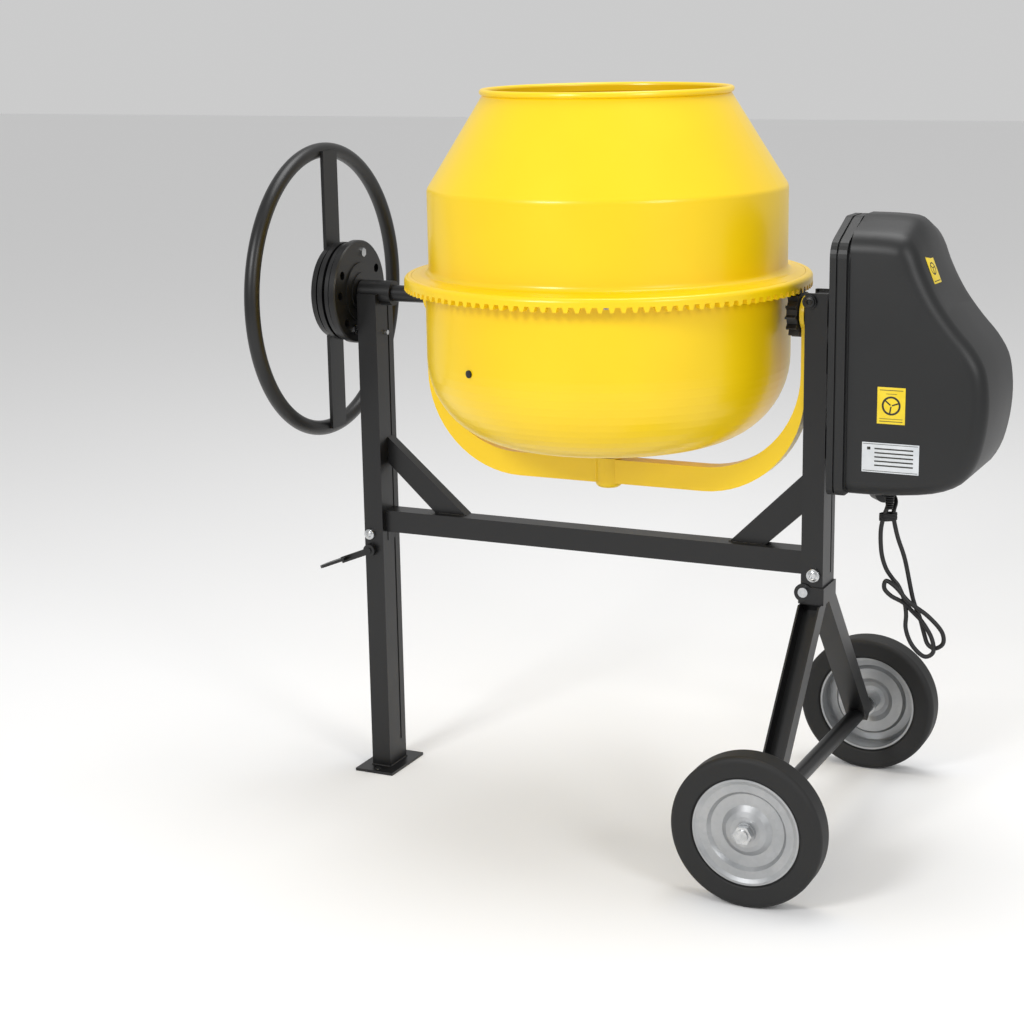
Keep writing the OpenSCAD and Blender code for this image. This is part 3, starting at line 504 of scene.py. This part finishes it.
@dataclass
class Casting:
    """Smoothed copies of shells whose curved faces were flat facets."""

    shells: dict[str, tuple[str, str, Finish, float]]

    def make(self) -> None:
        """Copies, welds and smooths each shell."""
        for node, (body, slot, finish, angle) in self.shells.items():
            shell = frame["nodes"][node].copy()
            shell.data = shell.data.copy()
            shell.name = node + "_skin"
            shell.parent = None
            bpy.context.scene.collection.objects.link(shell)
            alone(shell)
            bpy.ops.object.mode_set(mode="EDIT")
            bpy.ops.mesh.select_all(action="SELECT")
            bpy.ops.mesh.remove_doubles(threshold=0.00002)
            object_mode()
            if shell.data.has_custom_normals:
                bpy.ops.mesh.customdata_custom_splitnormals_clear()
            settle(shell, body, finish, angle)
            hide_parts(node)


@dataclass
class Label:
    """A printed film label with a plain border and a generic motif, with no lettering."""

    name: str
    centre: Vector
    width: float
    height: float
    film: Finish
    slot: str
    lean: float = 0.0
    facing: float = 0.0
    bars: tuple[tuple[float, float, float, float], ...] = ()
    dial: float = 0.0
    thick: float = 0.0006

    def slab(self, name: str, x: float, z: float, w: float, h: float, deep: float) -> bpy.types.Object:
        """One thin bevelled tile, lying in the label's own X-Z plane."""
        bpy.ops.mesh.primitive_cube_add(size=1, location=(x, -deep / 2, z))
        bpy.context.object.scale = (w, deep, h)
        tile = taken(name)
        modified(tile, "BEVEL", width=min(deep * 0.45, 0.0004), segments=2, limit_method="ANGLE")
        return tile

    def laid(self, obj: bpy.types.Object) -> bpy.types.Object:
        """Turns and moves a piece from the label's own plane to its place on the housing."""
        turn = Matrix.Rotation(math.radians(self.facing), 4, "Z")
        lean = Matrix.Rotation(math.radians(self.lean), 4, "X")
        obj.matrix_world = Matrix.Translation(self.centre) @ turn @ lean
        alone(obj)
        return taken(obj.name)

    def make(self) -> None:
        """Builds the film and its print."""
        film = self.laid(self.slab(self.name, 0, 0, self.width, self.height, self.thick))
        settle(film, "frame", self.film)
        print_parts = [self.slab("bar", x * self.width, z * self.height, w * self.width, h * self.height,
                                 self.thick + 0.0003) for x, z, w, h in self.bars]
        if self.dial:
            bpy.ops.mesh.primitive_torus_add(major_radius=self.dial, minor_radius=self.dial * 0.12,
                                             major_segments=40, minor_segments=6,
                                             location=(0, -self.thick, 0), rotation=(math.pi / 2, 0, 0))
            ring = bpy.context.object
            ring.scale = (1, 1, 0.15)
            print_parts.append(ring)
            for turn in (math.radians(20), math.radians(140), math.radians(260)):
                spot = (0.5 * self.dial * math.cos(turn), -self.thick, 0.5 * self.dial * math.sin(turn))
                bpy.ops.mesh.primitive_cube_add(size=1, location=spot, rotation=(0, -turn, 0))
                bpy.context.object.scale = (self.dial * 0.8, 0.0006, self.dial * 0.16)
                print_parts.append(bpy.context.object)
        if print_parts:
            settle(self.laid(joined(self.name + "_print", print_parts)), "frame", INK)


@dataclass
class ButtonHead:
    """A domed bolt head with a hexagon socket, looking towards -Y."""

    name: str
    centre: Vector
    radius: float
    finish: Finish
    slot: str
    rise: float = 0.5

    def make(self) -> None:
        """Shapes the dome from a disc and sinks the socket in it."""
        bpy.ops.mesh.primitive_cylinder_add(vertices=48, radius=self.radius, depth=self.radius * self.rise,
                                            location=(0, 0, self.radius * self.rise / 2))
        head = taken(self.name)
        top = self.radius * self.rise
        picked_faces(head, lambda c, n: n.z > 0.9)
        bpy.ops.mesh.inset(thickness=self.radius * 0.22, depth=0)
        bpy.ops.mesh.inset(thickness=self.radius * 0.24, depth=self.radius * 0.12)
        bpy.ops.mesh.inset(thickness=self.radius * 0.1, depth=self.radius * 0.02)
        bpy.ops.mesh.inset(thickness=0.0001, depth=-self.radius * 0.3)
        object_mode()
        modified(head, "BEVEL", width=top * 0.35, segments=4, limit_method="ANGLE",
                 angle_limit=math.radians(50))
        turn = Matrix.Rotation(math.radians(90), 4, "X")
        head.matrix_world = Matrix.Translation(self.centre) @ turn
        alone(head)
        settle(taken(self.name), "frame", self.finish)


@dataclass
class Weld:
    """A bead of weld along a straight joint."""

    name: str
    start: Vector
    end: Vector
    size: float = 0.0022

    def make(self) -> None:
        """Lays overlapping drops of metal in a row."""
        run = self.end - self.start
        count = max(3, int(run.length / (self.size * 1.3)))
        drops = []
        bpy.ops.mesh.primitive_uv_sphere_add(segments=10, ring_count=6, radius=self.size,
                                             location=self.start)
        first = bpy.context.object
        drops.append(first)
        for k in range(1, count + 1):
            drop = first.copy()
            drop.data = first.data.copy()
            drop.location = self.start + run * k / count
            bpy.context.scene.collection.objects.link(drop)
            drops.append(drop)
        settle(joined(self.name, drops), "frame", POWDER, 60)


FINISH_OF_SLOT: dict[str, Finish] = {
    "yellow_paint": ENAMEL, "inner_paint": LINING, "black_paint": POWDER, "bright_steel": PLATED,
    "zinc_steel": ZINC, "tyre": TYRE, "rubber": VINYL, "black_plastic": HOUSING, "brass": BRASS,
    "cast_iron": IRON, "grey_paint": GREY, "green_plastic": GREEN, "red_plastic": RED,
    "white_plastic": WHITE, "brown_paint": BROWN}


def dress_nodes() -> None:
    """Gives every CAD node the finish of its material slot."""
    slots = {part["node"]: part["material_slot"] for part in frame["record"]["subparts"]}
    centre = middle("lower_drum")
    drum = DrumFinish("yellow_drum_enamel", Surface.PAINT, ENAMEL.colour, ENAMEL.second, ENAMEL.roughness,
                      ENAMEL.grain_mm, ENAMEL.bump, ENAMEL.cloud_mm, coat=ENAMEL.coat,
                      centre=(centre.x, centre.y, high("lower_drum").z), mouth=high("upper_drum").z)
    for name, obj in frame["nodes"].items():
        finish = drum if name in ("upper_drum", "lower_drum") else FINISH_OF_SLOT[slots[name]]
        if name == "blade_bolts":
            finish = IRON
        for place in obj.material_slots:
            place.material = finish.make()


@dataclass
class Fasteners:
    """Domed heads over the stand's bolts, with hexagon sockets where the bolts have them."""

    def heads(self) -> list[ButtonHead]:
        """Every head that looks forwards."""
        seat = low("left_leg").y
        bar = low("crossbar").z
        clamp = middle("bearing_bolt")
        right = low("right_leg").x
        left_spot = Vector((low("left_leg").x + 0.011, seat - 0.0006, bar + 0.013))
        right_spot = Vector((right + 0.021, seat - 0.0006, bar + 0.020))
        clamp_spot = Vector((clamp.x + 0.001, seat - 0.0048, clamp.z))
        return [
            ButtonHead("left_bar_bolt", left_spot, 0.0094, PLATED, "bright_steel", 0.52),
            ButtonHead("right_bar_bolt", right_spot, 0.0109, PLATED, "bright_steel", 0.46),
            ButtonHead("bearing_clamp_bolt", clamp_spot, 0.0085, POWDER, "black_paint", 0.3)]

    def make(self) -> None:
        """Builds them."""
        for head in self.heads():
            head.make()


@dataclass
class StandTrim:
    """Weld beads where the stand's plates and tubes meet."""

    def beads(self) -> list[Weld]:
        """Every bead, from the boxes of the parts it joins."""
        leg_low, leg_high = low("left_leg"), high("left_leg")
        plate = high("foot_plate").z
        bar = high("crossbar").z
        back = low("left_brace").y
        thin = 0.0016
        front_left = Vector((leg_low.x, leg_low.y, plate))
        front_right = Vector((leg_high.x, leg_low.y, plate))
        rear_left = Vector((leg_low.x, leg_high.y, plate))
        rear_right = Vector((leg_high.x, leg_high.y, plate))
        left_low, left_high = low("left_brace").x, high("left_brace").x
        right_low, right_high = low("right_brace").x, high("right_brace").x
        left_toe = left_low + (left_high - left_low) * 0.66
        right_toe = right_low + (right_high - right_low) * 0.42
        return [
            Weld("foot_bead_front", front_left, front_right),
            Weld("foot_bead_rear", rear_left, rear_right),
            Weld("foot_bead_side", front_right, rear_right),
            Weld("left_brace_bead", Vector((left_toe, back, bar)), Vector((left_high, back, bar)), thin),
            Weld("right_brace_bead", Vector((right_low, back, bar)), Vector((right_toe, back, bar)), thin)]

    def make(self) -> None:
        """Lays the beads."""
        for bead in self.beads():
            bead.make()


def belt_label() -> Label:
    """The small film on the housing's sloping end, laid on the slope that it finds there."""
    mesh = frame["nodes"]["cover"].data
    tree = BVHTree.FromPolygons([v.co for v in mesh.vertices], [tuple(p.vertices) for p in mesh.polygons])
    start = Vector((high("cover").x + 0.2, low("cover").y + 0.055, low("cover").z + 0.345))
    place, normal, _, _ = tree.ray_cast(start, Vector((-1, 0, 0)))
    if place is None:
        raise RuntimeError("the housing's sloping end was not found")
    turn = math.degrees(math.atan2(normal.x, -normal.y))
    lean = -math.degrees(math.asin(max(-1.0, min(1.0, normal.z))))
    return Label("belt_label", place + normal * 0.0001, 0.032, 0.046, YELLOW_FILM, "yellow_paint",
                 lean=lean, facing=turn, bars=((0, 0.42, 0.8, 0.03), (0, -0.42, 0.8, 0.03)), dial=0.009)


def labels() -> list[Label]:
    """The three films on the housing: two on its front wall, one on its sloping end."""
    front = low("cover").y - 0.0001
    left = low("cover").x
    floor = low("cover").z
    return [
        Label("service_label", Vector((left + 0.068, front, floor + 0.144)), 0.043, 0.056, YELLOW_FILM,
              "yellow_paint", bars=((0, 0.42, 0.84, 0.02), (0, 0.32, 0.4, 0.015), (0, -0.36, 0.84, 0.015),
                                    (0, -0.43, 0.84, 0.02)), dial=0.013),
        Label("data_label", Vector((left + 0.0685, front, floor + 0.0635)), 0.088, 0.046, WHITE_FILM,
              "white_plastic", bars=tuple((0.06, 0.3 - 0.14 * k, 0.68, 0.05) for k in range(5))
              + ((-0.38, 0.3, 0.06, 0.1), (0, 0.45, 0.96, 0.02), (0, -0.45, 0.96, 0.02))),
        belt_label()]


def main() -> None:
    """Builds the studio and the pieces in order."""
    logging.basicConfig(level=logging.INFO, format="%(message)s")
    origin_x = middle("lower_drum").x
    studio = Studio(origin_x)
    studio.camera()
    MainsCord().make()
    dress_nodes()
    Casting({"cover": ("frame", "black_plastic", HOUSING, 40.0)}).make()
    for label in labels():
        label.make()
    Fasteners().make()
    StandTrim().make()
    studio.floor()
    studio.lights()


if __name__ == "__main__":
    main()
